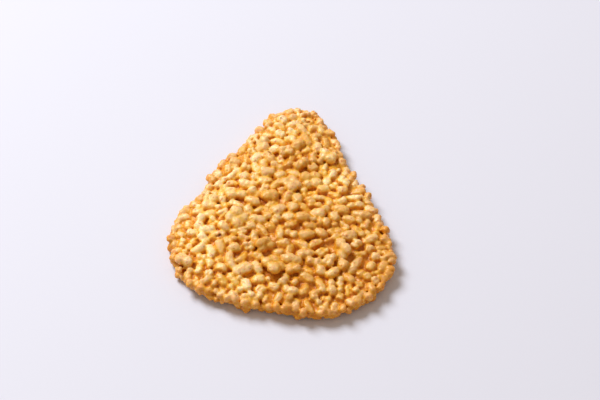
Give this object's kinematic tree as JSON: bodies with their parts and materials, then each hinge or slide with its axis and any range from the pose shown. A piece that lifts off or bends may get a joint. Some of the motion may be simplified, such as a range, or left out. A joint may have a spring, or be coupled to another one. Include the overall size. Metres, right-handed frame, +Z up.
{
  "type": "japanese rice cracker",
  "caption": "Fried puffed-rice cracker: a rounded-triangle sheet of puffed grains fused together, gently arched, with a knobbly face and a ragged rim.",
  "frame": {"origin": "middle of the bounding box, on the plane that the cracker lies on", "axes": "+Z up out of the face, +Y along the length towards the narrow tip, +X across the broad end to the right"},
  "size_m": [0.0838, 0.0992, 0.0114],
  "materials": {
    "puffed_rice": "golden fried puffed rice with a faint film of oil, browner between the grains and at the rim"
  },
  "bodies": {
    "root": {"rice_cracker": "puffed_rice"}
  },
  "joints": []
}
